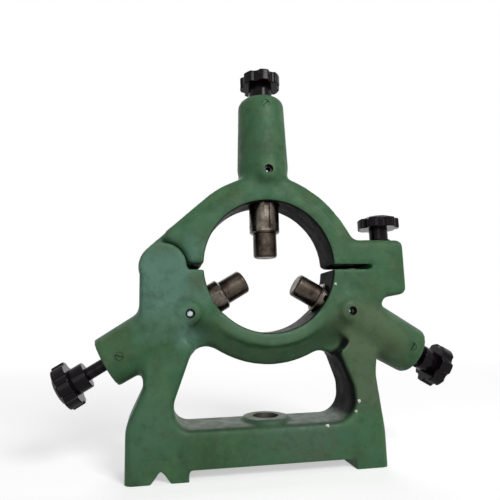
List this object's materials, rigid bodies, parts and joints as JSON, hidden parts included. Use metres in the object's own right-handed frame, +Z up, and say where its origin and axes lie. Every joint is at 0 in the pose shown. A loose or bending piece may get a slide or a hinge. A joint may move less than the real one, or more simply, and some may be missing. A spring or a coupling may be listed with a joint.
{
  "type": "lathe steady rest",
  "caption": "Hinged ring on a cast bed frame; three screw-set jaws on radial barrels guide a round bar, and a knob clamps the swinging cap.",
  "frame": {"origin": "middle of the outline on the plane of the sole", "axes": "+X right seen from the front, -Y towards the side with the lock screws, +Z up"},
  "size_m": [0.415, 0.058, 0.4185],
  "materials": {
    "frame_paint": "green enamel over a sand casting, semi-gloss",
    "quill_steel": "turned steel with a film of oil",
    "tip_iron": "turned bearing iron, oily",
    "knob_black": "moulded black phenolic, glossy",
    "screw_black": "blackened steel",
    "bush_steel": "turned steel"
  },
  "bodies": {
    "bed_frame": {"lower_frame": "frame_paint", "hinge_pin": "bush_steel", "left_end_bush": "bush_steel", "left_retaining_screw": "screw_black", "right_end_bush": "bush_steel", "right_retaining_screw": "screw_black"},
    "cap": {"upper_frame": "frame_paint", "top_end_bush": "bush_steel", "top_retaining_screw": "screw_black"},
    "clamp_lift": {"clamp_washer": "screw_black"},
    "clamp_screw": {"clamp_knob": "knob_black", "clamp_stud": "screw_black"},
    "top_jaw": {"top_quill": "quill_steel", "top_jaw_tip": "tip_iron", "top_tip_pin": "bush_steel"},
    "top_screw": {"top_adjusting_screw": "screw_black", "top_knob": "knob_black"},
    "top_lock": {"top_lock_screw": "screw_black"},
    "left_jaw": {"left_quill": "quill_steel", "left_jaw_tip": "tip_iron", "left_tip_pin": "bush_steel"},
    "left_screw": {"left_adjusting_screw": "screw_black", "left_knob": "knob_black"},
    "left_lock": {"left_lock_screw": "screw_black"},
    "right_jaw": {"right_quill": "quill_steel", "right_jaw_tip": "tip_iron", "right_tip_pin": "bush_steel"},
    "right_screw": {"right_adjusting_screw": "screw_black", "right_knob": "knob_black"},
    "right_lock": {"right_lock_screw": "screw_black"}
  },
  "joints": [
    {"name": "cap_hinge", "type": "hinge", "parent": "bed_frame", "child": "cap", "pos_m": [-0.10237, 0, 0.1985], "axis": [0, -1, 0], "range_deg": [0, 100]},
    {"name": "clamp_lift_slide", "type": "slide", "parent": "cap", "child": "clamp_lift", "axis": [0, 0, 1], "range_m": [0, 0.021]},
    {"name": "clamp_turn", "type": "hinge", "parent": "clamp_lift", "child": "clamp_screw", "pos_m": [0.13663, 0, 0.2265], "axis": [0, 0, 1], "range_deg": [0, 4320]},
    {"name": "top_jaw_slide", "type": "slide", "parent": "cap", "child": "top_jaw", "axis": [0, 0, 1], "range_m": [0, 0.05]},
    {"name": "top_screw_turn", "type": "hinge", "parent": "cap", "child": "top_screw", "pos_m": [0.00563, 0, 0.3855], "axis": [0, 0, 1], "range_deg": [0, 9000]},
    {"name": "top_lock_turn", "type": "hinge", "parent": "cap", "child": "top_lock", "pos_m": [0.00563, 0, 0.2985], "axis": [0, -1, 0], "range_deg": [0, 180]},
    {"name": "left_jaw_slide", "type": "slide", "parent": "bed_frame", "child": "left_jaw", "axis": [-0.866, 0, -0.5], "range_m": [-0.018, 0.032]},
    {"name": "left_screw_turn", "type": "hinge", "parent": "bed_frame", "child": "left_screw", "pos_m": [-0.15632, 0, 0.105], "axis": [-0.866, 0, -0.5], "range_deg": [-3240, 5760]},
    {"name": "left_lock_turn", "type": "hinge", "parent": "bed_frame", "child": "left_lock", "pos_m": [-0.07664, 0, 0.151], "axis": [0, -1, 0], "range_deg": [0, 180]},
    {"name": "right_jaw_slide", "type": "slide", "parent": "bed_frame", "child": "right_jaw", "axis": [0.866, 0, -0.5], "range_m": [-0.026, 0.024]},
    {"name": "right_screw_turn", "type": "hinge", "parent": "bed_frame", "child": "right_screw", "pos_m": [0.16758, 0, 0.105], "axis": [0.866, 0, -0.5], "range_deg": [-4680, 4320]},
    {"name": "right_lock_turn", "type": "hinge", "parent": "bed_frame", "child": "right_lock", "pos_m": [0.0879, 0, 0.151], "axis": [0, -1, 0], "range_deg": [0, 180]}
  ],
  "couplings": [
    {"joint": "clamp_turn", "follows": "clamp_lift_slide", "rad_per_m": 3590.4},
    {"joint": "top_screw_turn", "follows": "top_jaw_slide", "rad_per_m": 3141.6},
    {"joint": "left_screw_turn", "follows": "left_jaw_slide", "rad_per_m": 3141.6},
    {"joint": "right_screw_turn", "follows": "right_jaw_slide", "rad_per_m": 3141.6}
  ]
}
